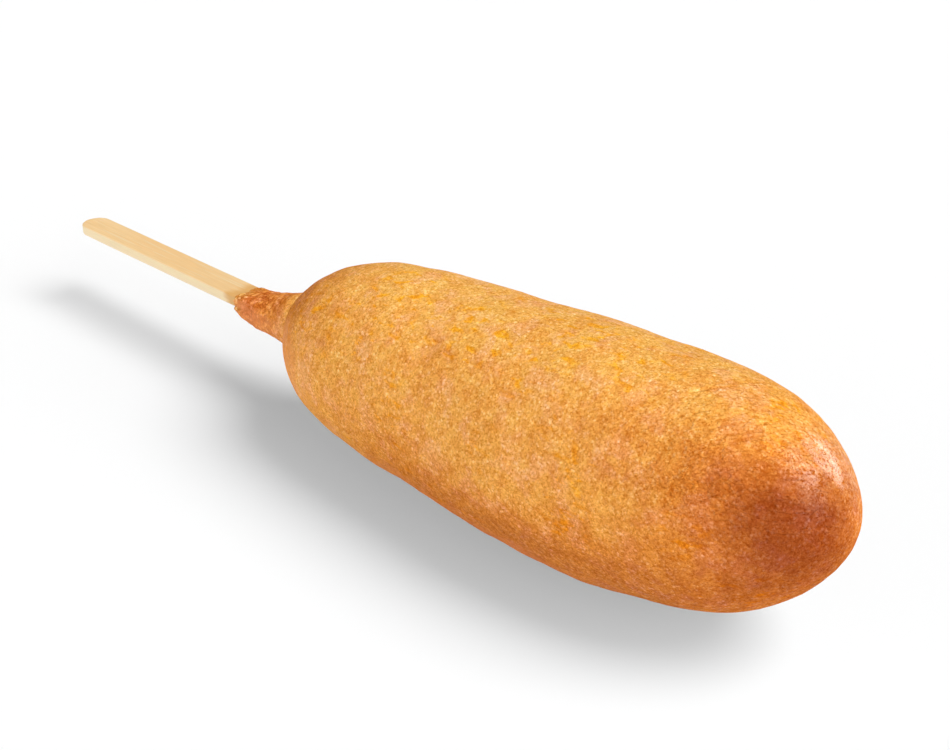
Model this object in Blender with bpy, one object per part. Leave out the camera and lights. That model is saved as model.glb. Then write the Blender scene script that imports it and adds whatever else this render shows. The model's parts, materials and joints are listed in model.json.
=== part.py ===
"""A corn dog lying on its side: a fried corn-batter body on a flat wooden stick.

Metres, +Z up. +X runs from the bare end of the stick to the round tip of the body.
The origin is on the surface the corn dog rests on, under the middle of its whole box.
The body is one solid with a blind slot for the stick, and the stick is another.
"""
import math

import bmesh
import bpy
from mathutils import Matrix, Vector

# Body, measured from where the neck meets it to the tip
BODY_LENGTH = 0.1222
BODY_RADIUS = 0.0205
WIDEST_AT = 0.645         # share of the length, counted from the neck
NECK_END_TAPER = 0.33     # share of the radius lost from the widest place to the neck
TIP_TAPER = 0.41          # share of the radius lost from the widest place to the tip
NECK_END_ROUNDING = 0.022
NECK_END_START = 0.0007   # where that rounding starts
NECK_END_POWER = 2.0      # a true ellipse
TIP_ROUNDING = 0.021
TIP_POWER = 2.4           # blunter than an ellipse

# Neck: the thin coat of batter that climbs the stick
NECK_LENGTH = 0.0163
NECK_RADIUS = 0.0048
MOUTH_RADIUS = 0.0037
MOUTH_WIDTH = 1.12        # the mouth is flattened like the stick: wider
MOUTH_HEIGHT = 0.86       # and lower than round
NECK_FILLET = 0.008       # how softly the neck's foot spreads on to the body
FILLET_REACH = 1.2        # how steeply the fillet leaves the neck
NECK_HANG = 0.0011        # the batter dripped, so the neck hangs below the stick's middle
COAT = 0.0005             # least batter over the stick, outside the fitting gap
COAT_POWER = 6.0          # the coat's section: nearly the stick's own rectangle

# Centreline: both ends and the middle stray a little from a straight axis
TIP_CURL = 0.0015         # up
MIDDLE_SAG = 0.0015       # down
NECK_END_DROP = 0.0017    # down
LYING_TILT = math.radians(2.0)   # the tip is raised where the body comes to rest
FLAT_DEPTH = 0.0005       # pressed flat where the body rests

# Stick: flat hardwood with round ends
STICK_LENGTH = 0.140
STICK_WIDTH = 0.00635
STICK_THICKNESS = 0.0022
STICK_EDGE = 0.0003       # rounding of its long edges
STICK_BARE = 0.0738       # from the body's neck end to the stick's bare end
STICK_TILT = math.radians(1.4)   # the bare end points up from the body's axis
STICK_DROP = 0.00205      # the stick's middle under that axis at the neck end

FIT_GAP = 0.0003          # between the stick and the batter round it
CLOSE = 0.000001          # points nearer than this are one point

SIDES = 56                # facets round the body
BODY_STEPS = 46           # rings along the body
NECK_STEPS = 8            # rings along the neck
END_STEPS = 14            # facets round each end of the stick

# Slow swellings of the fried crust: height, waves along, waves around, turn
SWELLINGS = (
    (0.00016, 1.8, 1, 3.56),
    (0.00014, 3.4, 0, 2.13),
    (0.00009, 1.2, -2, 4.54),
    (0.00009, 4.8, -3, 5.88),
)


def clear_objects():
    for item in list(bpy.data.objects):
        bpy.data.objects.remove(item, do_unlink=True)


def rounding(depth, power):
    """Superelliptic end: 0 at the end itself, 1 where the rounding stops."""
    if depth >= 1.0:
        return 1.0
    return (1.0 - (1.0 - max(depth, 0.0)) ** power) ** (1.0 / power)


def body_radius(x):
    """Radius of the round body at a distance x from its neck end."""
    widest = WIDEST_AT * BODY_LENGTH
    if x < widest:
        swell = 1.0 - NECK_END_TAPER * ((widest - x) / widest) ** 2
    else:
        swell = 1.0 - TIP_TAPER * ((x - widest) / (BODY_LENGTH - widest)) ** 2
    neck_end = rounding((x - NECK_END_START) / NECK_END_ROUNDING, NECK_END_POWER)
    tip = rounding((BODY_LENGTH - x) / TIP_ROUNDING, TIP_POWER)
    return BODY_RADIUS * swell * neck_end * tip


def neck_radius(x):
    """Radius of the neck at x, which is negative outside the body."""
    along = min(max(1.0 + x / NECK_LENGTH, 0.0), 1.0)
    return MOUTH_RADIUS + (NECK_RADIUS - MOUTH_RADIUS) * math.sin(0.5 * math.pi * along)


def soft_maximum(a, b, softness):
    """The larger of two radii, with the corner between them filled."""
    near = max(softness - abs(a - b), 0.0) / softness
    return max(a, b) + 0.25 * softness * near * near


def outer_radius(x):
    """Radius of neck and body together, with a fillet where they meet."""
    if x > 0.5 * BODY_LENGTH:
        return body_radius(x)
    body = body_radius(x) if x > 0.0 else FILLET_REACH * x
    return soft_maximum(neck_radius(x), body, NECK_FILLET)


def outline():
    """The turned outline, from the middle of the neck's mouth to the tip."""
    points = [(-NECK_LENGTH, 0.0)]
    for step in range(NECK_STEPS):
        x = -NECK_LENGTH * (1.0 - step / NECK_STEPS)
        points.append((x, outer_radius(x)))
    for step in range(BODY_STEPS):
        turn = math.pi * step / BODY_STEPS
        x = BODY_LENGTH * 0.5 * (1.0 - math.cos(turn))
        points.append((x, outer_radius(x)))
    points.append((BODY_LENGTH, 0.0))
    return points


def swelling(x, angle):
    """How far the crust stands out from the turned shape; none on the neck."""
    height = 0.0
    for size, along, around, turn in SWELLINGS:
        height += size * math.sin(along * math.tau * x / BODY_LENGTH + around * angle + turn)
    fade = min(max(x / NECK_END_ROUNDING, 0.0), 1.0)
    return height * fade


def centreline_height(x):
    """Height of the centreline over a straight axis, before the body is laid down."""
    if x < 0.0:
        mouthward = min(-x / NECK_LENGTH, 1.0)
        hang = NECK_HANG * math.sin(0.5 * math.pi * mouthward)
        step = (STICK_DROP - NECK_END_DROP) * (1.0 - mouthward)
        return stick_height(x) + step - hang
    share = x / BODY_LENGTH
    curl = TIP_CURL * share ** 7
    sag = MIDDLE_SAG * math.sin(math.pi * share)
    drop = NECK_END_DROP * (1.0 - share) ** 4
    return curl - sag - drop


def stick_height(x):
    """Height of the stick's own middle line over the same axis."""
    return -STICK_DROP - x * math.tan(STICK_TILT)


def cover_stick(point):
    """Push a point of the neck outwards until the coat covers the stick there."""
    middle = stick_height(point.x)
    across = point.y / (0.5 * STICK_WIDTH + FIT_GAP + COAT)
    over = (point.z - middle) / (0.5 * STICK_THICKNESS + FIT_GAP + COAT)
    cover = (abs(across) ** COAT_POWER + abs(over) ** COAT_POWER) ** (1.0 / COAT_POWER)
    if cover < 1.0:
        point.y /= cover
        point.z = middle + (point.z - middle) / cover


def shape_vertex(point):
    """Swell, flatten and bend the turned shape into the real, uneven one."""
    radius = math.hypot(point.y, point.z)
    angle = math.atan2(point.z, point.y)
    if radius > CLOSE:
        grown = radius + swelling(point.x, angle) * min(radius / NECK_RADIUS, 1.0)
        point.y *= grown / radius
        point.z *= grown / radius
    mouthward = min(max(-point.x / NECK_LENGTH, 0.0), 1.0)
    point.y *= 1.0 + (MOUTH_WIDTH - 1.0) * mouthward
    point.z *= 1.0 + (MOUTH_HEIGHT - 1.0) * mouthward
    point.z += centreline_height(point.x)
    if point.x < 0.0 and radius > CLOSE:
        cover_stick(point)


def turned_body():
    """The outline spun about its length, then made uneven and laid down."""
    shape = bmesh.new()
    spine = [shape.verts.new((x, 0.0, radius)) for x, radius in outline()]
    edges = [shape.edges.new(pair) for pair in zip(spine, spine[1:])]
    bmesh.ops.spin(shape, geom=spine + edges, cent=(0, 0, 0), axis=(1, 0, 0),
                   angle=math.tau, steps=SIDES, use_merge=True)
    bmesh.ops.remove_doubles(shape, verts=shape.verts, dist=CLOSE)
    for vertex in shape.verts:
        shape_vertex(vertex.co)
    shape.transform(Matrix.Rotation(-LYING_TILT, 4, "Y"))
    bmesh.ops.recalc_face_normals(shape, faces=shape.faces)
    return shape


def cut_flat(shape):
    """Cut the resting flat under the body and close it with one face."""
    floor = min(vertex.co.z for vertex in shape.verts) + FLAT_DEPTH
    everything = shape.verts[:] + shape.edges[:] + shape.faces[:]
    cut = bmesh.ops.bisect_plane(shape, geom=everything, dist=CLOSE, plane_co=(0, 0, floor),
                                 plane_no=(0, 0, -1), clear_outer=True)
    rim = [item for item in cut["geom_cut"] if isinstance(item, bmesh.types.BMEdge)]
    bmesh.ops.contextual_create(shape, geom=rim)
    bmesh.ops.recalc_face_normals(shape, faces=shape.faces)
    return floor


def stick_outline(length, width):
    """Corners of a flat bar with half-round ends, centred, in the XY plane."""
    corners = []
    radius = 0.5 * width
    for end in (1, -1):
        centre = end * (0.5 * length - radius)
        for step in range(END_STEPS + 1):
            angle = math.pi * (step / END_STEPS - 0.5)
            corners.append((centre + end * radius * math.cos(angle),
                            end * radius * math.sin(angle), 0.0))
    return corners


def stick_shape(grown, edge):
    """The stick, grown by a margin all round; an edge of 0 leaves it square."""
    shape = bmesh.new()
    length = STICK_LENGTH + 2.0 * grown
    thickness = STICK_THICKNESS + 2.0 * grown
    corners = [shape.verts.new(corner) for corner in
               stick_outline(length, STICK_WIDTH + 2.0 * grown)]
    face = shape.faces.new(corners)
    raised = bmesh.ops.extrude_face_region(shape, geom=[face])
    top = [item for item in raised["geom"] if isinstance(item, bmesh.types.BMVert)]
    bmesh.ops.translate(shape, verts=top, vec=(0, 0, thickness))
    bmesh.ops.translate(shape, verts=shape.verts, vec=(0, 0, -0.5 * thickness))
    bmesh.ops.recalc_face_normals(shape, faces=shape.faces)
    if edge:
        rims = [item for item in shape.edges
                if abs(item.verts[0].co.z - item.verts[1].co.z) < CLOSE]
        bmesh.ops.bevel(shape, geom=rims, offset=edge, affect="EDGES", segments=2,
                        profile=0.5, material=-1)
    return shape


def place_stick(shape):
    """Slide the stick to its place, tilt it, and lay it down with the body."""
    slide = 0.5 * STICK_LENGTH - STICK_BARE
    bmesh.ops.translate(shape, verts=shape.verts, vec=(slide, 0, 0))
    shape.transform(Matrix.Rotation(STICK_TILT, 4, "Y"))
    bmesh.ops.translate(shape, verts=shape.verts, vec=(0, 0, stick_height(0.0)))
    shape.transform(Matrix.Rotation(-LYING_TILT, 4, "Y"))


def finish_material(name, colour, roughness):
    material = bpy.data.materials.new(name)
    material.use_nodes = True
    shader = material.node_tree.nodes["Principled BSDF"]
    shader.inputs["Base Color"].default_value = (*colour, 1.0)
    shader.inputs["Roughness"].default_value = roughness
    shader.inputs["Metallic"].default_value = 0.0
    return material


def make_object(name, shape, material=None):
    mesh = bpy.data.meshes.new(name)
    shape.to_mesh(mesh)
    shape.free()
    mesh.shade_smooth()
    mesh.set_sharp_from_angle(angle=math.radians(35))
    item = bpy.data.objects.new(name, mesh)
    bpy.context.scene.collection.objects.link(item)
    if material:
        mesh.materials.append(material)
    return item


def cut_slot(body, cutter):
    """Sink the blind slot for the stick into the body."""
    cutter.hide_render = True
    cutter.display_type = "WIRE"
    slot = body.modifiers.new("stick slot", "BOOLEAN")
    slot.operation = "DIFFERENCE"
    slot.solver = "EXACT"
    slot.object = cutter


def box_of(shapes):
    points = [vertex.co for shape in shapes for vertex in shape.verts]
    low = Vector(min(point[axis] for point in points) for axis in range(3))
    high = Vector(max(point[axis] for point in points) for axis in range(3))
    return low, high


def main():
    clear_objects()
    body_shape = turned_body()
    floor = cut_flat(body_shape)
    stick = stick_shape(0.0, STICK_EDGE)
    cutter = stick_shape(FIT_GAP, 0.0)
    for shape in (stick, cutter):
        place_stick(shape)
    low, high = box_of((body_shape, stick))
    to_origin = Vector((-0.5 * (low.x + high.x), -0.5 * (low.y + high.y), -floor))
    for shape in (body_shape, stick, cutter):
        bmesh.ops.translate(shape, verts=shape.verts, vec=to_origin)
    crust = finish_material("fried corn batter", (0.62, 0.27, 0.065), 0.55)
    wood = finish_material("pale hardwood", (0.83, 0.62, 0.36), 0.6)
    body = make_object("batter", body_shape, crust)
    make_object("stick", stick, wood)
    cut_slot(body, make_object("stick_slot_cutter", cutter))


main()
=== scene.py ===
# %% [markdown]
# # A corn dog
#
# A corn dog is a fried body of corn batter on a flat wooden stick, so there are only two
# pieces to make. Everything that makes it look right is in its skin: a slightly uneven form,
# a sandy golden crust that is browner at the tip and at the neck, a thin film of oil, and a
# dry, straight-grained stick.
#
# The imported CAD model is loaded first. It says where both pieces are, in metres, and the
# finished pieces keep to its box within a fraction of a millimetre.

# %% Load the frame
import json
import math

import bmesh
import bpy
from mathutils import Matrix, Vector, noise

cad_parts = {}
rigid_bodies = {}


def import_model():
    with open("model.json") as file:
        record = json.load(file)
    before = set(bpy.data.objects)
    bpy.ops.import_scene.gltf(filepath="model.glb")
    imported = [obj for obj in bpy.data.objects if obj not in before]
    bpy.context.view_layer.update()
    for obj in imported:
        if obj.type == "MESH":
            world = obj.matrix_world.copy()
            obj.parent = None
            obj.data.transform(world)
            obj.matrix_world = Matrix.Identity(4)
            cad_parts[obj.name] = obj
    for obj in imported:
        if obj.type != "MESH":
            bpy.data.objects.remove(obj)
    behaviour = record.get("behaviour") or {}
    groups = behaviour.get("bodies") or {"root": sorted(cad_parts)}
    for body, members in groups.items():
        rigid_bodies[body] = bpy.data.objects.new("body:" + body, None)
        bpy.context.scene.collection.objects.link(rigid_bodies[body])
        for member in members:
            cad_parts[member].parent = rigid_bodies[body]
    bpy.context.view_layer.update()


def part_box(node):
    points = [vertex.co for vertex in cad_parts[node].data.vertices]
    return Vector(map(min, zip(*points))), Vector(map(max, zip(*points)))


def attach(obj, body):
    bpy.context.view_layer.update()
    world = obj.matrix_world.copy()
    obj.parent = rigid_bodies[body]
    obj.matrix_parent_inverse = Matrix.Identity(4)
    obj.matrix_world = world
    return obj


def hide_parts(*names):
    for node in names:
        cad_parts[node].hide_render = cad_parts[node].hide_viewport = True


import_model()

batter_low, batter_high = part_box("batter")
stick_low, stick_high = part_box("stick")
print("batter", tuple(batter_low), tuple(batter_high))
print("stick", tuple(stick_low), tuple(stick_high))

# %% [markdown]
# ## The body's outline
#
# The batter is dipped and fried upright, so its form is nearly a turned one. One radius is
# needed for every place along it: a neck that climbs the stick, a body that swells towards
# its tip, and two different roundings at the ends. The radius is written as a few small
# functions, because each of them can be checked and changed by itself. Lengths are in metres,
# measured from the place where the neck meets the body.

# %% Sizes of the body
BODY_LENGTH = 0.1222
BODY_RADIUS = 0.0205
WIDEST_AT = 0.645         # share of the length, counted from the neck
NECK_END_TAPER = 0.33     # share of the radius lost towards the neck
TIP_TAPER = 0.41          # share of the radius lost towards the tip
NECK_END_ROUNDING = 0.022
NECK_END_START = 0.0026   # where the body's round end begins, hidden inside the neck
NECK_END_POWER = 2.3
TIP_ROUNDING = 0.021
TIP_POWER = 2.4           # blunter than an ellipse
NECK_LENGTH = 0.0163
NECK_RADIUS = 0.0048
MOUTH_RADIUS = 0.0037
NECK_FILLET = 0.008       # how softly the neck's foot spreads on to the body
FILLET_REACH = 1.2
FLARE = 0.0006            # extra radius at the neck's foot
FLARE_REACH = 0.004       # this far from the foot, about a third of it is left


# %% The turned radius
def rounding(depth, power):
    """Superelliptic end: 0 at the end itself, 1 where the rounding stops."""
    if depth >= 1.0:
        return 1.0
    return (1.0 - (1.0 - max(depth, 0.0)) ** power) ** (1.0 / power)


def body_radius(x):
    """The body alone: a slow swell that both ends round off."""
    widest = WIDEST_AT * BODY_LENGTH
    if x < widest:
        swell = 1.0 - NECK_END_TAPER * ((widest - x) / widest) ** 2
    else:
        swell = 1.0 - TIP_TAPER * ((x - widest) / (BODY_LENGTH - widest)) ** 2
    neck_end = rounding((x - NECK_END_START) / NECK_END_ROUNDING, NECK_END_POWER)
    tip = rounding((BODY_LENGTH - x) / TIP_ROUNDING, TIP_POWER)
    return BODY_RADIUS * swell * neck_end * tip


def neck_radius(x):
    """The neck alone, from its mouth to its foot."""
    along = min(max(1.0 + x / NECK_LENGTH, 0.0), 1.0)
    return MOUTH_RADIUS + (NECK_RADIUS - MOUTH_RADIUS) * math.sin(0.5 * math.pi * along)


def outer_radius(x):
    """The larger of neck and body, with the corner between them filled."""
    if x > 0.5 * BODY_LENGTH:
        return body_radius(x)
    neck, body = neck_radius(x), body_radius(x) if x > 0.0 else FILLET_REACH * x
    near = max(NECK_FILLET - abs(neck - body), 0.0) / NECK_FILLET
    flare = FLARE * math.exp(-(x / FLARE_REACH) ** 2)
    return max(neck, body) + 0.25 * NECK_FILLET * near * near + flare


print("radius at the neck's foot, the widest place and 5 mm from the tip:",
      [round(outer_radius(x) * 1000, 2) for x in (0.0, WIDEST_AT * BODY_LENGTH,
                                                  BODY_LENGTH - 0.005)], "mm")

# %% [markdown]
# The skin will be a net of small, nearly square faces, so rings have to be spaced evenly
# along the outline itself and not along the axis. Near the tip the outline turns straight
# inwards, and rings spaced along the axis would leave one long step there. The outline is
# walked once in very small steps, and a table then answers "where is the point that is so
# many millimetres along the skin?".

# %% Walk along the outline
WALK_STEPS = 4000


def walk_outline():
    """Points (distance along the skin, x, radius) from the neck's mouth to the tip."""
    walked, distance, last = [], 0.0, None
    for step in range(WALK_STEPS + 1):
        turn = 0.5 * math.pi * step / WALK_STEPS
        x = (BODY_LENGTH + NECK_LENGTH) * math.sin(turn) - NECK_LENGTH
        radius = outer_radius(x)
        if last:
            distance += math.hypot(x - last[0], radius - last[1])
        walked.append((distance, x, radius))
        last = (x, radius)
    return walked


SKIN_WALK = walk_outline()
SKIN_LENGTH = SKIN_WALK[-1][0]
print("the skin is", round(SKIN_LENGTH * 1000, 1), "mm long from mouth to tip")


def along_skin(distance):
    """x and radius at a distance along the skin, by halving the walk."""
    low, high = 0, len(SKIN_WALK) - 1
    while high - low > 1:
        middle = (low + high) // 2
        if SKIN_WALK[middle][0] < distance:
            low = middle
        else:
            high = middle
    before, after = SKIN_WALK[low], SKIN_WALK[high]
    share = (distance - before[0]) / max(after[0] - before[0], 1e-12)
    share = min(max(share, 0.0), 1.0)
    return (before[1] + (after[1] - before[1]) * share,
            before[2] + (after[2] - before[2]) * share)


# %% [markdown]
# ## From a square bar to a round body
#
# A turned shape made with Spin ends in a pole, where many thin triangles meet, and a pole
# shows as a pinched star as soon as the skin gets lumps. So this body starts as a square
# bar: a cube with its stick end open, cut into small squares by subdividing its edges. Its
# square end face becomes the round tip, so the tip is a net of squares too. Then every
# point is moved: round the section, and along the outline.

# %% Cut a cube into a bar of small squares
RINGS = 316               # along the bar, from the mouth to the edge of the tip cap
SIDE_FACES = 72           # along each side of the square section


def edges_along(shape, axis):
    """The edges that run along one axis of the uncut cube."""
    return [edge for edge in shape.edges
            if abs(edge.verts[0].co[axis] - edge.verts[1].co[axis]) > 1.5]


dough = bmesh.new()
bmesh.ops.create_cube(dough, size=2.0)
stick_end = [face for face in dough.faces if face.normal.x < -0.5]
bmesh.ops.delete(dough, geom=stick_end, context="FACES_ONLY")
bmesh.ops.subdivide_edges(dough, edges=edges_along(dough, 0), cuts=RINGS - 1, use_grid_fill=True)
bmesh.ops.subdivide_edges(dough, edges=edges_along(dough, 1), cuts=SIDE_FACES - 1,
                          use_grid_fill=True)
bmesh.ops.subdivide_edges(dough, edges=edges_along(dough, 2), cuts=SIDE_FACES - 1,
                          use_grid_fill=True)
print("bar:", len(dough.verts), "points,", len(dough.faces), "faces")

# %% [markdown]
# The body isn't perfectly straight. It sags a little in the middle, curls up at the tip, and
# the neck hangs below the stick, because batter drips while it sets. Slow swellings keep the
# outline from looking machined.

# %% Bends and slow swellings
NECK_HANG = 0.0011
TIP_CURL = 0.0015
MIDDLE_SAG = 0.0015
NECK_END_DROP = 0.0017
STICK_DROP = 0.00205
STICK_TILT = math.radians(1.4)
LYING_TILT = math.radians(2.0)
MOUTH_WIDTH, MOUTH_HEIGHT = 1.12, 0.86
# height, waves along, waves around, turn
SWELLINGS = (
    (0.00016, 1.8, 1, 3.56),
    (0.00014, 3.4, 0, 2.13),
    (0.00009, 1.2, -2, 4.54),
    (0.00009, 4.8, -3, 5.88),
)


def clamp(value):
    return min(max(value, 0.0), 1.0)


def smooth(low, high, value):
    """0 below low, 1 above high, and a soft S between them."""
    share = clamp((value - low) / (high - low))
    return share * share * (3.0 - 2.0 * share)


def swelling(x, angle):
    """Slow change of the radius, which fades out towards the neck."""
    height = sum(size * math.sin(along * math.tau * x / BODY_LENGTH + around * angle + turn)
                 for size, along, around, turn in SWELLINGS)
    return height * clamp(x / NECK_END_ROUNDING)


def stick_height(x):
    """Height of the stick's middle over the axis of the turned form."""
    return -STICK_DROP - x * math.tan(STICK_TILT)


def centreline_height(x):
    """Height of the section's middle: under the stick at the mouth, sagging further on."""
    if x < 0.0:
        mouthward = min(-x / NECK_LENGTH, 1.0)
        hang = NECK_HANG * math.sin(0.5 * math.pi * mouthward)
        step = (STICK_DROP - NECK_END_DROP) * (1.0 - mouthward)
        return stick_height(x) + step - hang
    share = x / BODY_LENGTH
    return (TIP_CURL * share ** 7 - MIDDLE_SAG * math.sin(math.pi * share)
            - NECK_END_DROP * (1.0 - share) ** 4)


# %% [markdown]
# At the mouth of the neck the batter is a thin film on the top of the stick and a thick,
# rounded lip underneath, and its rim is ragged and slants back below. The film follows the
# stick's own section, which is nearly a rectangle, so a superellipse round the stick says how
# near the skin may come, and the round neck turns into that film towards the mouth.

# %% The film on the stick and the ragged rim
STICK_WIDTH = 0.00635
STICK_THICKNESS = 0.0022
FILM = 0.00028            # batter over the top of the stick at the mouth
FILM_POWER = 7.0
FILM_SWELL = 0.0015       # how much thicker it is where the neck meets the body
RIM_SLANT = 0.0030        # how far the rim draws back underneath
RIM_RAGGED = 0.0009


def film_ratio(y, above, film):
    """Under 1 inside the film's outside, over 1 outside it."""
    across = abs(y) / (0.5 * STICK_WIDTH + film)
    over = abs(above) / (0.5 * STICK_THICKNESS + film)
    return (across ** FILM_POWER + over ** FILM_POWER) ** (1.0 / FILM_POWER)


def rim_back(angle):
    """How far the rim is drawn back towards the body at an angle round the stick."""
    under = smooth(-0.25, 0.95, -math.sin(angle))
    ragged = noise.noise((2.1 * math.cos(angle), 2.1 * math.sin(angle), 3.7))
    fine = noise.noise((6.0 * math.cos(angle), 6.0 * math.sin(angle), 9.2))
    return RIM_SLANT * under + RIM_RAGGED * (ragged + 0.45 * fine)


def skin_point(x, radius, angle):
    """A point of the smooth body in its own frame, before it is laid down."""
    if radius > 1e-6:
        radius += swelling(x, angle) * min(radius / NECK_RADIUS, 1.0)
    mouthward = clamp(-x / NECK_LENGTH)
    y = radius * math.cos(angle) * (1.0 + (MOUTH_WIDTH - 1.0) * mouthward)
    z = radius * math.sin(angle) * (1.0 + (MOUTH_HEIGHT - 1.0) * mouthward)
    z += centreline_height(x)
    if x >= 0.0:
        return Vector((x, y, z))
    middle = stick_height(x)
    film = FILM + FILM_SWELL * (1.0 - mouthward)
    ratio = film_ratio(y, z - middle, film)
    hugging = smooth(0.35, 1.0, mouthward) * smooth(-0.35, 0.25, math.sin(angle))
    if ratio < 1.0:
        hugging = 1.0
    scale = 1.0 + (1.0 / ratio - 1.0) * hugging
    back = rim_back(angle) * mouthward ** 2
    return Vector((x + back, y * scale, middle + (z - middle) * scale))


# %% Round the bar and draw it along the outline
LIP_RINGS = 12            # the rings nearest the mouth turn in to the stick
CAP_SHARE = 0.905         # of the skin's length, where the tip cap begins
THIN_REACH = 0.0034       # how far the film stays thin enough for light to pass


def section_angle(y, z):
    """Angle round the section, so that the square's sides become equal arcs."""
    if abs(y) >= abs(z):
        turn = 0.25 * math.pi * z / y if y else 0.0
        return turn if y > 0.0 else math.pi + turn
    turn = 0.25 * math.pi * y / z
    return 0.5 * math.pi - turn if z > 0.0 else -0.5 * math.pi - turn


def lip_point(ring, angle):
    """The rounded rim: from the stick's surface out to the skin at the mouth."""
    outside = skin_point(-NECK_LENGTH, outer_radius(-NECK_LENGTH), angle)
    middle = stick_height(outside.x)
    y, above = outside.y, outside.z - middle
    inner = 1.0 / film_ratio(y, above, -0.00008)
    thickness = math.hypot(y, above) * (1.0 - inner)
    turn = 0.5 * math.pi * ring / LIP_RINGS
    share = inner + (1.0 - inner) * math.sin(turn)
    depth = min(0.85 * thickness, 0.0013)
    return Vector((outside.x - depth * math.cos(turn), y * share, middle + above * share))


thin_layer = dough.verts.layers.float.new("thin film")
for point in dough.verts:
    x, y, z = point.co
    angle = section_angle(y, z)
    inward = max(abs(y), abs(z))
    ring = round(0.5 * (x + 1.0) * RINGS)
    if ring < LIP_RINGS:
        point.co = lip_point(ring, angle)
        point[thin_layer] = smooth(-0.7, 0.2, math.sin(angle))
        continue
    if ring < RINGS:
        share = CAP_SHARE * (ring - LIP_RINGS) / (RINGS - LIP_RINGS)
    else:
        share = 1.0 - (1.0 - CAP_SHARE) * inward
    along, radius = along_skin(share * SKIN_LENGTH)
    point.co = skin_point(along, radius, angle)
    point[thin_layer] = (smooth(-NECK_LENGTH + THIN_REACH, -NECK_LENGTH, along)
                         * smooth(-0.7, 0.2, math.sin(angle)))
dough.transform(Matrix.Rotation(-LYING_TILT, 4, "Y"))
print("rounded bar:", [round(1000 * (max(v.co[i] for v in dough.verts)
                                     - min(v.co[i] for v in dough.verts)), 2)
                       for i in range(3)], "mm")


# %% [markdown]
# The CAD solid says where the body lies: the tip, the two sides and the top of the smooth
# form are brought on to the same faces of its box. The move is kept, because the stick was
# built in the same frame as the body and needs the same move.

# %% Lay the body where the frame holds it
def extent(shape, axis):
    """Lowest and highest place of a shape along one axis."""
    values = [vertex.co[axis] for vertex in shape.verts]
    return min(values), max(values)


dough_x, dough_y, dough_z = (extent(dough, axis) for axis in range(3))
laid_down = Vector((batter_high.x - dough_x[1],
                    0.5 * (batter_low.y + batter_high.y - dough_y[0] - dough_y[1]),
                    batter_high.z - dough_z[1]))
bmesh.ops.translate(dough, verts=dough.verts, vec=laid_down)
print("laid down by", [round(1000 * value, 2) for value in laid_down], "mm")

# %% [markdown]
# ## Lumps, hollows and a ragged neck
#
# Fried batter is never smooth. Steam lifts it into low lumps about the size of a thumb, the
# surface pulls in small hollows where bubbles broke, and the thin neck is the roughest part.
# Each is a layer of noise read at the point's own place, so it has a real size in
# millimetres, and each pushes the point along its normal. Sandy grain is much finer than the
# net of faces, so it is left to the material.

# %% Relief of the skin
SEED = Vector((31.0, 7.0, 19.0))
NECK_SKIN = (0.006, -0.004)      # from the neck's foot: here the body's skin becomes the neck's
RIM_SKIN = (-0.0175, -0.0150)    # from the neck's foot: here the relief fades out at the rim
RIM_RELIEF = 0.20                # share of the relief that is left at the rim


def layer(place, size, turn):
    """Smooth noise of about -1 to 1 with features of a size in millimetres."""
    return 1.6 * noise.noise(place * (1000.0 / size) + SEED * turn)


def relief(place, neckness):
    """Height of the skin over the smooth form, in metres."""
    lumps = 0.16 * layer(place, 17.0, 1.0) + 0.10 * layer(place, 7.0, 2.0)
    crumbs = 0.045 * layer(place, 3.0, 3.0) + 0.022 * layer(place, 1.4, 4.0)
    hollow = max(layer(place, 4.2, 5.0) - 0.45, 0.0) * -0.10
    rough = 0.10 * layer(place, 2.2, 6.0) + 0.06 * layer(place, 1.0, 7.0)
    return 0.001 * ((lumps + crumbs + hollow) * (1.0 - neckness) + rough * neckness)


dough.normal_update()
neck_foot = laid_down.x
heights = []
for point in dough.verts:
    neckness = smooth(*NECK_SKIN, point.co.x - neck_foot)
    rim = smooth(*RIM_SKIN, point.co.x - neck_foot)
    height = relief(point.co, neckness) * (RIM_RELIEF + (1.0 - RIM_RELIEF) * rim)
    heights.append(height)
for point, height in zip(dough.verts, heights):
    point.co += point.normal * height
print("relief from", round(min(heights) * 1000, 3), "to", round(max(heights) * 1000, 3), "mm")

# %% [markdown]
# The lowest points are pressed flat, so that the body rests on a small spot. Then one face
# closes the mouth. The skin has no slot for the stick: the stick runs on inside the closed
# skin, where it can't be seen.

# %% Press the resting place flat and close the mouth
FLOOR_SOFTNESS = 0.0004
for point in dough.verts:
    if point.co.z < FLOOR_SOFTNESS:
        over = (point.co.z + FLOOR_SOFTNESS) / (2.0 * FLOOR_SOFTNESS)
        point.co.z = FLOOR_SOFTNESS * max(over, 0.0) ** 2
rim_edges = [edge for edge in dough.edges if edge.is_boundary]
closed = bmesh.ops.edgeloop_fill(dough, edges=rim_edges)
bmesh.ops.recalc_face_normals(dough, faces=dough.faces)
print("mouth closed with", len(closed["faces"]), "face;",
      sum(len(face.verts) - 2 for face in dough.faces), "triangles")
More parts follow.
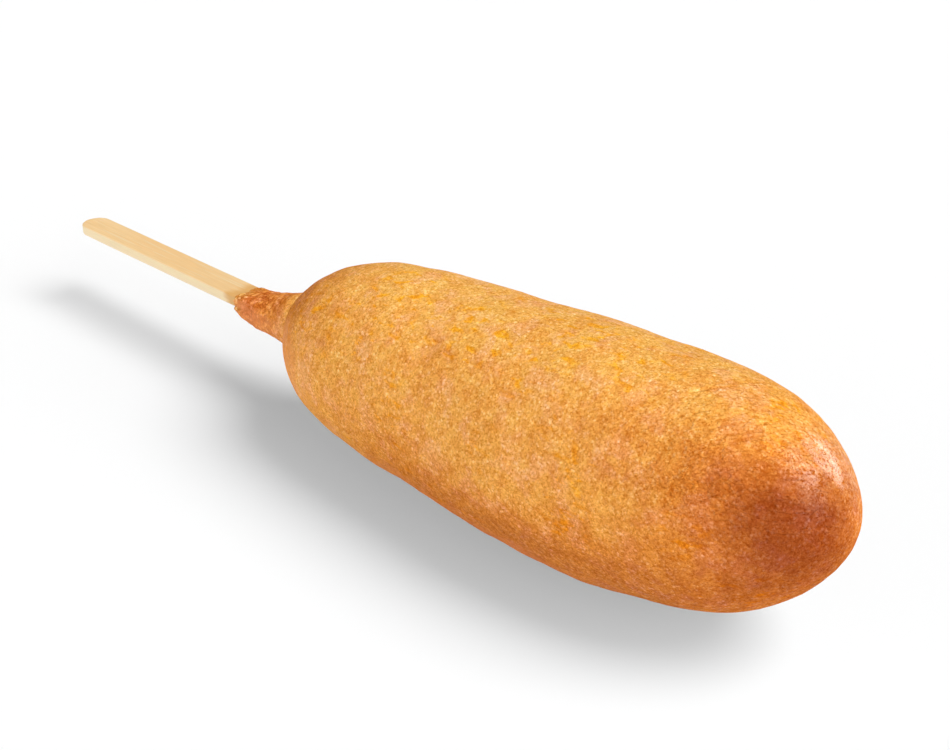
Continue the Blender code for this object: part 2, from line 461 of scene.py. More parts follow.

# %% [markdown]
# ## Where the crust is browner, and where light and shade are painted
#
# The tip went into the oil first and stayed there longest, so it carries a brown spot. The
# neck is thin and fries through. The flanks near the table are darker and redder: partly
# browning, partly painted shade of the side towards the table. These places belong to the
# body and not to a pattern, so they are stored on the points as attributes that the material
# can read. Four more attributes say where the neck's red begins, where the skin near the tip
# has dried into fine wrinkles, where a spot of oil stands on the shoulder of the tip, and
# where the crust is smoother than elsewhere: round the neck's end and underneath. Round the
# neck's end the paler colour of that smooth skin is also painted light, on a side that faces
# away from the lamps.

# %% Store the browning and the painted shade on the points
PLAIN_GOLD, PALER_TOP = 0.24, 0.14      # on the flanks, and how much less on the top
BROWN_TIP, TIP_SPARED = 0.88, 0.28      # in the brown spot, and the share the top is spared
# darker and redder underneath: partly browning, partly painted shade of the side towards the
# table
SHADE_AND_BROWN_UNDERNEATH = 0.40
BROWN_NECK_END, BROWN_SHOULDER = 0.16, 0.18
BROWN_NECK = 0.10
BROWN_MIDDLE = Vector((batter_high.x - 0.0080, -0.0062, 0.0275))
BROWN_REACH = Vector((0.0200, 0.0116, 0.0112))
SHINY_SPOT = Vector((batter_high.x - 0.0052, 0.0020, 0.0342))
SHINY_SIZE = 0.0054
browning_and_shade_layer = dough.verts.layers.float.new("browning_and_shade")
redness_layer = dough.verts.layers.float.new("redness")
wrinkle_layer = dough.verts.layers.float.new("wrinkle")
gloss_layer = dough.verts.layers.float.new("gloss")
smooth_and_lit_layer = dough.verts.layers.float.new("softness")


def browning_and_shade(place, normal):
    """How brown the crust is, from 0.1 on the golden top to about 1 near the tip, with painted
    shade on the underside.
    """
    offset = place - BROWN_MIDDLE
    reach = Vector(offset[axis] / BROWN_REACH[axis] for axis in range(3)).length
    golden_top = TIP_SPARED * smooth(0.45, 0.95, normal.z)
    tip = BROWN_TIP * math.exp(-reach ** 2) * (1.0 - golden_top)
    # painted shade: darker and redder where the skin faces the table
    underneath = SHADE_AND_BROWN_UNDERNEATH * smooth(0.27, -0.53, normal.z) * smooth(-0.010, 0.035, place.x)
    neck_end = BROWN_NECK_END * smooth(-0.25, -0.75, normal.x)
    neck_end += BROWN_SHOULDER * smooth(-0.05, -0.45, normal.x) * smooth(0.20, 0.60, normal.z)
    plain = PLAIN_GOLD - PALER_TOP * smooth(0.70, 0.98, normal.z)
    return plain + tip + (underneath + neck_end) * (1.0 - tip)


dough.normal_update()
for point in dough.verts:
    place = point.co
    neck = smooth(0.007, -0.011, place.x - neck_foot)
    point[browning_and_shade_layer] = browning_and_shade(place, point.normal) + BROWN_NECK * neck
    point[redness_layer] = neck
    tipward = smooth(0.050, 0.085, place.x)
    point[wrinkle_layer] = tipward * smooth(-0.1, 0.5, point.normal.z)
    point[gloss_layer] = math.exp(-((place - SHINY_SPOT).length / SHINY_SIZE) ** 2)
    side = smooth(0.55, 0.10, point.normal.z)
    # painted light: the round end near the neck faces away from the lamps and is made paler here;
    # underneath and on the neck the paler mix stands for a smoother skin
    lit_round_end = smooth(-0.08, -0.55, point.normal.x) * side
    low_side = smooth(-0.40, -0.75, point.normal.z) * smooth(0.078, 0.045, place.x)
    point[smooth_and_lit_layer] = max(lit_round_end, neck * side, low_side)
browned_and_shaded_points = [point[browning_and_shade_layer] for point in dough.verts]
print("browning from", round(min(browned_and_shaded_points), 2), "to", round(max(browned_and_shaded_points), 2))

# %% Make the body's object
dough_mesh = bpy.data.meshes.new("fried_body")
dough.to_mesh(dough_mesh)
dough.free()
dough_mesh.shade_smooth()
fried_body = bpy.data.objects.new("fried_body", dough_mesh)
bpy.context.scene.collection.objects.link(fried_body)
print("fried_body:", len(dough_mesh.vertices), "points")

# %% [markdown]
# ## The stick
#
# The stick is a flat strip of pale hardwood, stamped with half-round ends. A cube is
# stretched to its size, its four upright edges are bevelled by half the width, which gives
# the round ends, and the long rims are eased. Cuts across and along it let the grain stand
# out a few hundredths of a millimetre. Which points belong to the cut edges is stored on the
# points before the stick is turned. The cut edges are painted paler than the faces: partly
# the sawn wood, partly painted light on the narrow sides that face the front.

# %% Shape the stick
STICK_LENGTH = 0.140
STICK_BARE = 0.0738       # outside the body, with the part that is under the neck
EASED_EDGE = 0.00035
CUTS_ALONG = 130
CUTS_ACROSS = 13

strip = bmesh.new()
bmesh.ops.create_cube(strip, size=1.0)
bmesh.ops.scale(strip, verts=strip.verts, vec=(STICK_LENGTH, STICK_WIDTH, STICK_THICKNESS))
uprights = [edge for edge in strip.edges
            if abs(edge.verts[0].co.z - edge.verts[1].co.z) > 0.5 * STICK_THICKNESS]
bmesh.ops.bevel(strip, geom=uprights, offset=0.4995 * STICK_WIDTH, affect="EDGES",
                segments=12, profile=0.5, material=-1)
rims = [edge for edge in strip.edges
        if abs(edge.verts[0].co.z - edge.verts[1].co.z) < 1e-7 and edge.calc_face_angle() > 1.0]
bmesh.ops.bevel(strip, geom=rims, offset=EASED_EDGE, affect="EDGES", segments=3,
                profile=0.5, material=-1)
for step in range(1, CUTS_ALONG):
    at = STICK_LENGTH * (step / CUTS_ALONG - 0.5)
    bmesh.ops.bisect_plane(strip, geom=strip.verts[:] + strip.edges[:] + strip.faces[:],
                           plane_co=(at, 0, 0), plane_no=(1, 0, 0), dist=1e-7)
for step in range(1, CUTS_ACROSS):
    at = STICK_WIDTH * (step / CUTS_ACROSS - 0.5)
    bmesh.ops.bisect_plane(strip, geom=strip.verts[:] + strip.edges[:] + strip.faces[:],
                           plane_co=(0, at, 0), plane_no=(0, 1, 0), dist=1e-7)
bmesh.ops.recalc_face_normals(strip, faces=strip.faces)
print("strip:", len(strip.verts), "points,", len(strip.faces), "faces")

# %% Raise the grain and place the stick
GRAIN_STRETCH = Vector((0.035, 1.0, 1.0))
BROAD_RIDGE, NARROW_RIDGE = 0.00004, 0.00003


def ridge_height(place):
    """Low ridges that run along the wood, in metres."""
    stretched = Vector((place.x * GRAIN_STRETCH.x, place.y, place.z)) * 1000.0
    broad = noise.noise(stretched / 1.3 + SEED)
    narrow = noise.noise(stretched / 0.6 + SEED * 2.0)
    return BROAD_RIDGE * broad + NARROW_RIDGE * narrow


strip.normal_update()
lit_cut_edge_layer = strip.verts.layers.float.new("lit cut edge")
for point in strip.verts:
    # the cut edges are marked for a paler colour: partly the wood, partly painted light on the
    # narrow sides
    point[lit_cut_edge_layer] = smooth(0.75, 0.30, abs(point.normal.z))
    point.co += point.normal * ridge_height(point.co)
slide = 0.5 * STICK_LENGTH - STICK_BARE
bmesh.ops.translate(strip, verts=strip.verts, vec=(slide, 0, 0))
strip.transform(Matrix.Rotation(STICK_TILT, 4, "Y"))
bmesh.ops.translate(strip, verts=strip.verts, vec=(0, 0, stick_height(0.0)))
strip.transform(Matrix.Rotation(-LYING_TILT, 4, "Y"))
bmesh.ops.translate(strip, verts=strip.verts, vec=laid_down)
strip_mesh = bpy.data.meshes.new("wooden_stick")
strip.to_mesh(strip_mesh)
strip.free()
strip_mesh.shade_smooth()
wooden_stick = bpy.data.objects.new("wooden_stick", strip_mesh)
bpy.context.scene.collection.objects.link(wooden_stick)
print("stick lies from", [round(1000 * min(v.co[i] for v in strip_mesh.vertices), 2)
                          for i in range(3)], "to",
      [round(1000 * max(v.co[i] for v in strip_mesh.vertices), 2) for i in range(3)])

# %% [markdown]
# ## A patchy mask for both finishes
#
# Crust and wood are both built from layers that come and go over the surface: mottling,
# sandy grain, amber hollows, streaks along the wood. One node group makes such a mask, so
# every layer is the same small machine with its own values: a size in millimetres, a
# stretch, and the two noise values between which the mask goes from 0 to 1.

# %% The mask group
def patch_group():
    """The node group: noise at a size in millimetres, turned into a mask and kept raw."""
    group = bpy.data.node_groups.new("patchy mask", "ShaderNodeTree")
    sockets = (
        ("Vector", "NodeSocketVector", None), ("Stretch", "NodeSocketVector", (1, 1, 1)),
        ("Shift", "NodeSocketVector", (0, 0, 0)), ("Size", "NodeSocketFloat", 1.0),
        ("Detail", "NodeSocketFloat", 2.0), ("Roughness", "NodeSocketFloat", 0.5),
        ("Distortion", "NodeSocketFloat", 0.0), ("Low", "NodeSocketFloat", 0.4),
        ("High", "NodeSocketFloat", 0.6),
    )
    for name, kind, value in sockets:
        socket = group.interface.new_socket(name, in_out="INPUT", socket_type=kind)
        if value is not None:
            socket.default_value = value
    group.interface.new_socket("Mask", in_out="OUTPUT", socket_type="NodeSocketFloat")
    group.interface.new_socket("Noise", in_out="OUTPUT", socket_type="NodeSocketFloat")
    nodes, links = group.nodes, group.links
    entry, leave = nodes.new("NodeGroupInput"), nodes.new("NodeGroupOutput")
    stretch = nodes.new("ShaderNodeVectorMath")
    stretch.operation = "MULTIPLY"
    links.new(entry.outputs["Vector"], stretch.inputs[0])
    links.new(entry.outputs["Stretch"], stretch.inputs[1])
    shift = nodes.new("ShaderNodeVectorMath")
    shift.operation = "ADD"
    links.new(stretch.outputs[0], shift.inputs[0])
    links.new(entry.outputs["Shift"], shift.inputs[1])
    scale = nodes.new("ShaderNodeMath")
    scale.operation = "DIVIDE"
    scale.inputs[0].default_value = 1.0
    links.new(entry.outputs["Size"], scale.inputs[1])
    pattern = nodes.new("ShaderNodeTexNoise")
    links.new(shift.outputs[0], pattern.inputs["Vector"])
    links.new(scale.outputs[0], pattern.inputs["Scale"])
    for name in ("Detail", "Roughness", "Distortion"):
        links.new(entry.outputs[name], pattern.inputs[name])
    ramp = nodes.new("ShaderNodeMapRange")
    ramp.interpolation_type = "SMOOTHSTEP"
    links.new(pattern.outputs["Fac"], ramp.inputs["Value"])
    links.new(entry.outputs["Low"], ramp.inputs["From Min"])
    links.new(entry.outputs["High"], ramp.inputs["From Max"])
    links.new(ramp.outputs["Result"], leave.inputs["Mask"])
    links.new(pattern.outputs["Fac"], leave.inputs["Noise"])
    return group


PATCHY_MASK = patch_group()
print("mask group with", len(PATCHY_MASK.nodes), "nodes")


# %% Small helpers for wiring a material
class Wiring:
    """The nodes and links of one material, with short ways to add the usual nodes."""

    def __init__(self, name):
        self.material = bpy.data.materials.new(name)
        self.material.use_nodes = True
        self.nodes = self.material.node_tree.nodes
        self.links = self.material.node_tree.links
        self.shader = self.nodes["Principled BSDF"]
        place = self.nodes.new("ShaderNodeTexCoord")
        millimetres = self.nodes.new("ShaderNodeMapping")
        millimetres.inputs["Scale"].default_value = (1000.0, 1000.0, 1000.0)
        self.links.new(place.outputs["Object"], millimetres.inputs["Vector"])
        self.place = millimetres.outputs["Vector"]

    def feed(self, socket, value):
        """Link an output to a socket, or set the socket to a plain value."""
        if isinstance(value, bpy.types.NodeSocket):
            self.links.new(value, socket)
        else:
            socket.default_value = value

    def turned(self, degrees):
        """The same place, turned, for a pattern that runs another way."""
        turn = self.nodes.new("ShaderNodeMapping")
        turn.inputs["Rotation"].default_value = tuple(math.radians(a) for a in degrees)
        self.links.new(self.place, turn.inputs["Vector"])
        return turn.outputs["Vector"]

    def patches(self, size, low, high, output="Mask", vector=None, **settings):
        """One use of the patchy mask, with a size in millimetres."""
        node = self.nodes.new("ShaderNodeGroup")
        node.node_tree = PATCHY_MASK
        self.links.new(vector or self.place, node.inputs["Vector"])
        for name, value in {"Size": size, "Low": low, "High": high, **settings}.items():
            node.inputs[name].default_value = value
        return node.outputs[output]

    def cells(self, size, shift=(0.0, 0.0, 0.0)):
        """Rounded grains: a height that domes over each grain, and a value per grain."""
        moved = self.nodes.new("ShaderNodeVectorMath")
        moved.operation = "ADD"
        self.links.new(self.place, moved.inputs[0])
        moved.inputs[1].default_value = shift
        node = self.nodes.new("ShaderNodeTexVoronoi")
        self.links.new(moved.outputs[0], node.inputs["Vector"])
        node.inputs["Scale"].default_value = 1.0 / size
        parts = self.nodes.new("ShaderNodeSeparateColor")
        self.links.new(node.outputs["Color"], parts.inputs[0])
        return self.math("SUBTRACT", 1.0, node.outputs["Distance"]), parts.outputs[0]

    def attribute(self, name):
        """A value that was stored on the points."""
        node = self.nodes.new("ShaderNodeAttribute")
        node.attribute_name = name
        return node.outputs["Fac"]

    def math(self, operation, first, second, clamped=False):
        """One calculation with two sockets or values."""
        node = self.nodes.new("ShaderNodeMath")
        node.operation = operation
        node.use_clamp = clamped
        self.feed(node.inputs[0], first)
        self.feed(node.inputs[1], second)
        return node.outputs["Value"]

    def mix(self, share, below, above, blend="MIX"):
        """The colour above mixed into the one below by a share."""
        node = self.nodes.new("ShaderNodeMix")
        node.data_type = "RGBA"
        node.blend_type = blend
        self.feed(node.inputs["Factor"], share)
        colours = [socket for socket in node.inputs if socket.type == "RGBA"]
        for socket, value in zip(colours, (below, above)):
            self.feed(socket, value if isinstance(value, bpy.types.NodeSocket)
                      else (*value, 1.0))
        return [socket for socket in node.outputs if socket.type == "RGBA"][0]

    def spread(self, value, low, high):
        """A mask from 0 to 1 turned into a value from low to high."""
        node = self.nodes.new("ShaderNodeMapRange")
        self.feed(node.inputs["Value"], value)
        node.inputs["To Min"].default_value = low
        node.inputs["To Max"].default_value = high
        return node.outputs["Result"]

    def rising(self, value, low, high):
        """0 below low, 1 above high, and a soft S between them."""
        node = self.nodes.new("ShaderNodeMapRange")
        node.interpolation_type = "SMOOTHSTEP"
        self.feed(node.inputs["Value"], value)
        node.inputs["From Min"].default_value = low
        node.inputs["From Max"].default_value = high
        return node.outputs["Result"]


# %% [markdown]
# ## The crust
#
# Close up, the crust is sand: grains of cornmeal, each a shade lighter or darker than the
# next, with pin-pricks of oil, whose glints are painted into the colour as pale specks. Over
# that lie patches of several millimetres, some amber where the batter is thin and glassy, some
# dull and pinkish where it is thick. The layers are painted in the order in which they matter
# from afar: golden ground, mottling, patches, redness and browning with the painted shade
# underneath, and the grain last, so that it is seen through all of them. Most of them multiply
# the colour below instead of covering it, because a bright grain on the brown tip is a lighter
# brown and not a piece of the golden flank.

# %% Colour of the crust
# the tones of the browning, which also carries the painted shade underneath
# browned by, colour
BROWNING_AND_SHADE_COLOURS = (
    (0.00, (0.95, 0.505, 0.112)),
    (0.25, (0.91, 0.405, 0.080)),
    (0.50, (0.74, 0.258, 0.042)),
    (0.75, (0.54, 0.152, 0.026)),
    (1.00, (0.33, 0.071, 0.014)),
)
AMBER_TINT = (1.04, 0.89, 0.24)
PINKISH_TINT = (1.02, 1.02, 1.50)
NECK_TINT = (1.12, 0.87, 0.88)
# pale tint for the painted glints of oil in the specks
GLINT_SPECK_TINT = (1.18, 1.45, 2.40)
# painted shade for the pits of the neck, painted highlights for the crowns of its knobs
PIT_SHADE_TINT = (0.68, 0.48, 0.32)
KNOB_HIGHLIGHT_TINT = (1.12, 1.32, 1.50)
# paler tones for the smooth skin, also used as painted light round the neck's end
SMOOTH_LIT_PALE, SMOOTH_LIT_BROWN = (1.0, 0.45, 0.19), (0.92, 0.20, 0.05)
SMOOTH_LIT_SHARE = 0.5
# painted shade for the grooves between the wrinkles
GROOVE_SHADE_TINT = (0.90, 0.80, 0.66)
THIN_COLOUR = (0.93, 0.50, 0.13)

crust = Wiring("fried corn batter")
mottle = crust.patches(8.0, 0.30, 0.70, Detail=3.0, Roughness=0.55)
blotch = crust.patches(2.2, 0.30, 0.70, Detail=3.0, Roughness=0.62,
                       Shift=(11.0, 3.0, 7.0))
uneven = crust.math("ADD", crust.spread(mottle, -0.07, 0.07),
                    crust.spread(blotch, -0.11, 0.11))
calm = crust.math("SUBTRACT", 1.0, crust.math("MULTIPLY", crust.attribute("browning_and_shade"), 0.6))
browned_and_shaded = crust.math("ADD", crust.attribute("browning_and_shade"),
                     crust.math("MULTIPLY", uneven, calm))
browned_and_shaded_ramp = crust.nodes.new("ShaderNodeValToRGB")
crust.feed(browned_and_shaded_ramp.inputs["Fac"], browned_and_shaded)
stops = browned_and_shaded_ramp.color_ramp.elements
stops[0].position, stops[1].position = BROWNING_AND_SHADE_COLOURS[0][0], BROWNING_AND_SHADE_COLOURS[-1][0]
stops[0].color, stops[1].color = ((*BROWNING_AND_SHADE_COLOURS[i][1], 1.0) for i in (0, -1))
for position, tone in BROWNING_AND_SHADE_COLOURS[1:-1]:
    stops.new(position).color = (*tone, 1.0)
colour = browned_and_shaded_ramp.outputs["Color"]
print("ground colour with", len(stops), "tones from gold to brown")

# %% Amber hollows, pinkish patches and the red neck
amber = crust.patches(1.7, 0.53, 0.68, Detail=2.0, Shift=(5.0, 21.0, 14.0),
                      Stretch=(0.6, 1.0, 1.3), Distortion=0.4)
amber_zone = crust.patches(14.0, 0.42, 0.62, Detail=1.0, Shift=(3.0, 8.0, 1.0))
amber_here = crust.math("MULTIPLY", amber, amber_zone)
pink = crust.patches(4.5, 0.48, 0.66, Detail=3.0, Shift=(40.0, 9.0, 2.0), Distortion=0.6)
colour = crust.mix(pink, colour, PINKISH_TINT, blend="MULTIPLY")
colour = crust.mix(amber_here, colour, AMBER_TINT, blend="MULTIPLY")
colour = crust.mix(crust.attribute("redness"), colour, NECK_TINT, blend="MULTIPLY")
colour = crust.mix(crust.math("MULTIPLY", crust.attribute("thin film"), 0.75), colour,
                   THIN_COLOUR)
print("patches and neck:", len(crust.nodes), "nodes so far")

# %% Sandy grain, and pin-pricks of oil with painted glints
GRAIN_SHADES = ((0.66, 1.26), (0.43, 1.43), (0.08, 1.74))    # darkest, lightest; R, G, B
grain_height, grain_shade = crust.cells(0.42)
fine_height, fine_shade = crust.cells(0.23, (7.0, 7.0, 7.0))
softer = crust.patches(0.45, 0.28, 0.72, Detail=2.0, Roughness=0.7)
speck_height, speck_shade = crust.cells(0.44, (3.0, 5.0, 9.0))
sand = crust.math("ADD", crust.math("MULTIPLY", grain_shade, 0.34),
                  crust.math("MULTIPLY", fine_shade, 0.46))
sand = crust.math("ADD", sand, crust.math("MULTIPLY", softer, 0.20))
shade = crust.nodes.new("ShaderNodeCombineColor")
for socket, (dark, light) in zip(shade.inputs[:3], GRAIN_SHADES):
    crust.feed(socket, crust.spread(sand, dark, light))
colour = crust.mix(1.0, colour, shade.outputs["Color"], blend="MULTIPLY")
# pale specks: painted glints of oil multiplied into the colour; the same specks also get a real
# coat of oil further down
glint_specks = crust.math("MULTIPLY", crust.spread(speck_shade, -2.9, 1.4), speck_height,
                    clamped=True)
colour = crust.mix(glint_specks, colour, GLINT_SPECK_TINT, blend="MULTIPLY")
knob_height, knob_shade = crust.cells(0.85, (1.0, 4.0, 2.0))
knobs = crust.math("MULTIPLY", crust.spread(knob_height, 0.0, 1.9), knob_shade)
# painted shade in the pits between the neck's knobs
shaded_pits = crust.math("MULTIPLY", crust.math("SUBTRACT", 1.0, knobs, clamped=True),
                  crust.attribute("redness"))
colour = crust.mix(shaded_pits, colour, PIT_SHADE_TINT, blend="MULTIPLY")
# painted highlights on the crowns of the neck's knobs
lit_crowns = crust.math("MULTIPLY", crust.spread(knobs, -1.2, 1.0), crust.attribute("redness"),
                    clamped=True)
colour = crust.mix(lit_crowns, colour, KNOB_HIGHLIGHT_TINT, blend="MULTIPLY")
WRINKLE_TURN = (0.0, 0.0, -45.0)
wrinkles = crust.patches(0.95, 0.32, 0.62, Detail=2.0, Stretch=(0.35, 1.0, 1.0),
                         Distortion=1.2, vector=crust.turned(WRINKLE_TURN))
# painted shade in the grooves of the wrinkles near the tip
shaded_grooves = crust.math("MULTIPLY", crust.math("SUBTRACT", 1.0, wrinkles),
                     crust.attribute("wrinkle"))
colour = crust.mix(shaded_grooves, colour, GROOVE_SHADE_TINT, blend="MULTIPLY")
print("with grain, specks and wrinkles:", len(crust.nodes), "nodes")

# %% [markdown]
# Where the batter ran together, the grains are sunk in a smooth skin and the colour is even
# and a little pinker. Round the neck's end the same paler tone is painted light, on a side that
# faces away from the lamps. Mixing the finished colour half-way to one plain tone shows both at
# once. Then comes the feel. The crust itself has no mirror in it at all: a rough surface that
# still reflects at a flat angle would get a chalky edge. Its oil is the coat on top, which is
# there only in pin-pricks and in the one wet spot near the tip, broken up by the grain.

# %% Where the crust is smooth, and painted light round the neck's end
# the paler tone: smooth skin, and painted light round the neck's end
smooth_lit_colour = crust.mix(crust.attribute("browning_and_shade"), SMOOTH_LIT_PALE, SMOOTH_LIT_BROWN)
colour = crust.mix(crust.math("MULTIPLY", crust.attribute("softness"), SMOOTH_LIT_SHARE),
                   colour, smooth_lit_colour)
crust.feed(crust.shader.inputs["Base Color"], colour)
print("smooth places are mixed in by", SMOOTH_LIT_SHARE)

# %% Feel of the crust: grain, wrinkles and oil
OIL_ROUGHNESS = 0.24
OIL_IOR = 1.6
wrinkled = crust.math("MULTIPLY", wrinkles, crust.attribute("wrinkle"))
wet_grain = crust.math("MULTIPLY", crust.attribute("gloss"), grain_height)
# layer, height in millimetres
BUMPS = (
    (grain_height, 0.05),
    (fine_height, 0.02),
    (softer, 0.03),
    (wrinkled, 0.13),
    (shaded_pits, -0.12),
    (wet_grain, 0.13),
    (blotch, 0.05),
    (amber_here, -0.04),
)
height = 0.0
for bumpy, tall in BUMPS:
    height = crust.math("ADD", height, crust.math("MULTIPLY", bumpy, tall))
bump = crust.nodes.new("ShaderNodeBump")
bump.inputs["Strength"].default_value = 1.0
bump.inputs["Distance"].default_value = 0.001
crust.feed(bump.inputs["Height"], height)
crust.feed(crust.shader.inputs["Normal"], bump.outputs["Normal"])
crust.feed(crust.shader.inputs["Roughness"],
           crust.math("SUBTRACT", crust.spread(grain_shade, 0.60, 0.48),
                      crust.math("MULTIPLY", glint_specks, 0.2)))
oily = crust.spread(crust.patches(1.1, 0.42, 0.68, Detail=2.0, Shift=(9.0, 1.0, 4.0)),
                    0.0, 0.04)
oily = crust.math("ADD", oily, crust.math("MULTIPLY", glint_specks, 0.25))
wet = crust.math("MULTIPLY", crust.attribute("gloss"), crust.spread(sand, -0.9, 3.0),
                 clamped=True)
crust.feed(crust.shader.inputs["Coat Weight"], crust.math("ADD", oily, wet, clamped=True))
crust.shader.inputs["Coat Roughness"].default_value = OIL_ROUGHNESS
crust.shader.inputs["Coat IOR"].default_value = OIL_IOR
crust.shader.inputs["Specular IOR Level"].default_value = 0.0
dough_mesh.materials.append(crust.material)
print("crust:", len(crust.nodes), "nodes")

# %% [markdown]
# ## The wood
#
# A corn dog's stick is birch: pale, with a straight grain that shows as fine streaks along
# it. Its broad faces are a little darker than its cut edges, partly the wood's own tone and
# partly painted light on the narrow sides, and near the batter the oil has soaked in and
# turned it golden. The streaks are the same patchy mask, drawn out along the stick.

# %% Colour and feel of the wood
wood = Wiring("pale birch")
STREAK = (0.045, 1.0, 1.0)
DARK_STREAK, LIGHT_STREAK = (0.90, 0.600, 0.283), (0.94, 0.650, 0.330)
BROAD_TONE = (0.91, 0.567, 0.247)
PALE_LINE = (0.93, 0.74, 0.46)
# paler tone of the cut edges: partly the wood, partly painted light on the narrow sides
LIT_CUT_EDGE = (1.0, 0.80, 0.50)
SOAKED_TONE = (0.80, 0.42, 0.12)
SOAKED_FROM, SOAKED_TO = 3.2, 0.4      # millimetres before the neck's mouth
streaks = wood.patches(0.75, 0.32, 0.68, Detail=3.0, Roughness=0.6, Stretch=STREAK)
pale_lines = wood.patches(0.5, 0.60, 0.70, Detail=1.0, Stretch=(0.03, 1.0, 1.0),
                          Shift=(4.0, 4.0, 4.0))
fibres = wood.patches(0.22, 0.30, 0.70, Detail=2.0, Stretch=(0.06, 1.0, 1.0),
                      Shift=(3.0, 8.0, 1.0))
broad = wood.patches(7.0, 0.35, 0.65, Detail=2.0, Stretch=(0.3, 1.0, 1.0),
                     Shift=(1.0, 1.0, 9.0))
timber = wood.mix(streaks, DARK_STREAK, LIGHT_STREAK)
timber = wood.mix(wood.math("MULTIPLY", broad, 0.5), timber, BROAD_TONE)
timber = wood.mix(wood.math("MULTIPLY", pale_lines, 0.45), timber, PALE_LINE)
# cut edges paler: partly the wood, partly painted light on the narrow sides
timber = wood.mix(wood.attribute("lit cut edge"), timber, LIT_CUT_EDGE)
along = wood.nodes.new("ShaderNodeSeparateXYZ")
wood.links.new(wood.place, along.inputs["Vector"])
wavering = wood.math("ADD", along.outputs["X"],
                     wood.math("MULTIPLY", wood.patches(1.6, 0.0, 1.0, output="Noise",
                                                        Stretch=(0.25, 1.0, 1.0)), 3.0))
mouth_at = 1000.0 * (neck_foot - NECK_LENGTH)
soaked = wood.rising(wavering, mouth_at - SOAKED_FROM, mouth_at - SOAKED_TO)
timber = wood.mix(wood.math("MULTIPLY", soaked, 0.85), timber, SOAKED_TONE)
shade = wood.spread(fibres, 0.97, 1.03)
tint = wood.nodes.new("ShaderNodeCombineColor")
for socket in tint.inputs[:3]:
    wood.feed(socket, shade)
timber = wood.mix(1.0, timber, tint.outputs["Color"], blend="MULTIPLY")
wood.feed(wood.shader.inputs["Base Color"], timber)
ridges = wood.math("ADD", wood.math("MULTIPLY", streaks, 0.03),
                   wood.math("MULTIPLY", fibres, 0.03))
wood_bump = wood.nodes.new("ShaderNodeBump")
wood_bump.inputs["Distance"].default_value = 0.001
wood.feed(wood_bump.inputs["Height"], ridges)
wood.feed(wood.shader.inputs["Normal"], wood_bump.outputs["Normal"])
wood.feed(wood.shader.inputs["Roughness"], wood.spread(fibres, 0.55, 0.68))
wood.shader.inputs["Specular IOR Level"].default_value = 0.35
strip_mesh.materials.append(wood.material)
print("wood:", len(wood.nodes), "nodes")

# %% Hand the pieces to the frame
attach(fried_body, "root")
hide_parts("batter")
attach(wooden_stick, "root")
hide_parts("stick")
print("handed over:", fried_body.name, "and", wooden_stick.name)

# %% [markdown]
# ## Floor, light and camera
#
# The corn dog lies on plain white. Two soft key lights come from the tip's side, one high
# and one low, and throw the soft shadow to the stick's side. A wide light from the front
# keeps the near side bright. A small one from behind only puts the sheen on the oily spot, so
# its diffuse light is switched off and it adds nothing to the crust's own colour. The pieces
# don't light the floor either, because the shadow under real food on a bright table is grey.
# The floor is wide enough to reach past every view, and above it the camera sees plain white,
# although the light from all around is weak.

# %% Floor
FLOOR_RADIUS = 8.0
PAPER_WHITE = (0.97, 0.97, 0.97, 1.0)
sheet = bmesh.new()
bmesh.ops.create_circle(sheet, cap_ends=True, segments=64, radius=FLOOR_RADIUS)
floor_mesh = bpy.data.meshes.new("floor")
sheet.to_mesh(floor_mesh)
sheet.free()
floor = bpy.data.objects.new("floor", floor_mesh)
bpy.context.scene.collection.objects.link(floor)
paper = bpy.data.materials.new("white paper")
paper.use_nodes = True
paper_shader = paper.node_tree.nodes["Principled BSDF"]
paper_shader.inputs["Base Color"].default_value = PAPER_WHITE
paper_shader.inputs["Roughness"].default_value = 0.9
paper_shader.inputs["Specular IOR Level"].default_value = 0.0
floor_mesh.materials.append(paper)
print("floor", 2.0 * FLOOR_RADIUS, "m across")


# %% Lights
def aim(item, place, target):
    """Put an item at a place and turn it towards its target."""
    item.location = place
    item.rotation_euler = (Vector(target) - Vector(place)).to_track_quat("-Z", "Y").to_euler()


def sun(name, towards, strength, softness):
    """A white light from one direction; the softness is its width in degrees."""
    data = bpy.data.lights.new(name, "SUN")
    data.energy, data.angle = strength, math.radians(softness)
    item = bpy.data.objects.new(name, data)
    bpy.context.scene.collection.objects.link(item)
    aim(item, Vector(towards).normalized(), (0, 0, 0))
    return item


def direction(azimuth, elevation):
    """Unit vector towards a place in the sky, in degrees from +X and over the floor."""
    a, e = math.radians(azimuth), math.radians(elevation)
    return Vector((math.cos(a) * math.cos(e), math.sin(a) * math.cos(e), math.sin(e)))


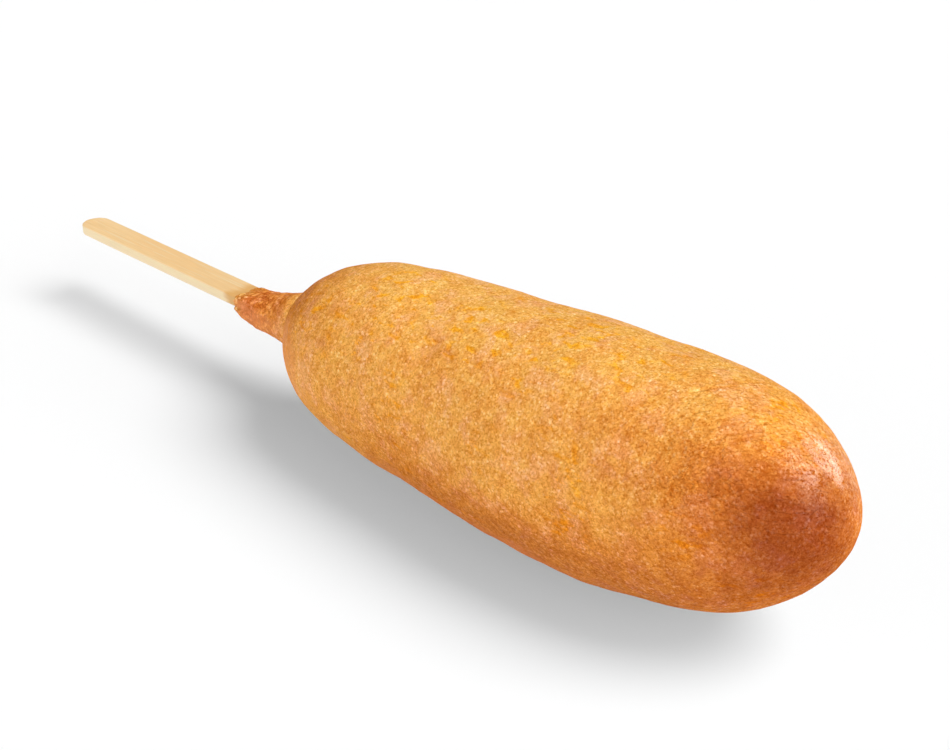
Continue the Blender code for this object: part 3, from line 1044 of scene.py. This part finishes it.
# name, azimuth, elevation, strength, softness
LIGHTS = (
    ("high key", 29.0, 54.4, 1.77, 36.6),
    ("tip key", -2.0, 24.2, 1.80, 50.0),
    ("front fill", -98.0, 26.0, 1.27, 90.0),
    ("sheen", 71.0, 21.5, 1.0, 28.0),
)
suns = {name: sun(name, direction(azimuth, elevation), strength, softness)
        for name, azimuth, elevation, strength, softness in LIGHTS}
for unlit in (suns["sheen"], fried_body, wooden_stick):
    unlit.visible_diffuse = False
print("lights:", ", ".join(suns))

# %% The light from all around
WORLD_STRENGTH = 0.16
world = bpy.data.worlds.new("studio")
world.use_nodes = True
sky = world.node_tree
sky.nodes["Background"].inputs["Color"].default_value = (1.0, 1.0, 1.0, 1.0)
sky.nodes["Background"].inputs["Strength"].default_value = WORLD_STRENGTH
backdrop = sky.nodes.new("ShaderNodeBackground")
backdrop.inputs["Color"].default_value = (1.0, 1.0, 1.0, 1.0)
seen = sky.nodes.new("ShaderNodeLightPath")
either = sky.nodes.new("ShaderNodeMixShader")
sky.links.new(seen.outputs["Is Camera Ray"], either.inputs[0])
sky.links.new(sky.nodes["Background"].outputs[0], either.inputs[1])
sky.links.new(backdrop.outputs[0], either.inputs[2])
sky.links.new(either.outputs[0], sky.nodes["World Output"].inputs["Surface"])
bpy.context.scene.world = world
bpy.context.scene.view_settings.view_transform = "Standard"
print("light from all around:", WORLD_STRENGTH)

# %% Camera
CAMERA_AZIMUTH = 45.21    # from -Y towards +X
CAMERA_ELEVATION = 27.38
CAMERA_DISTANCE = 0.2722
AIM_OFFSET = Vector((-0.0043, -0.0012, 0.00355))
FOCAL_LENGTH = 60.63
aim_point = 0.5 * (batter_low + batter_high) + AIM_OFFSET
lens = bpy.data.cameras.new("camera")
lens.lens = FOCAL_LENGTH
lens.sensor_width = 36.0
lens.clip_start = 0.01
lens.clip_end = 50.0
camera = bpy.data.objects.new("camera", lens)
bpy.context.scene.collection.objects.link(camera)
a, e = math.radians(CAMERA_AZIMUTH), math.radians(CAMERA_ELEVATION)
back = Vector((math.sin(a) * math.cos(e), -math.cos(a) * math.cos(e), math.sin(e)))
aim(camera, aim_point + CAMERA_DISTANCE * back, aim_point)
bpy.context.scene.camera = camera
print("camera at", [round(1000 * value, 1) for value in camera.location], "mm")
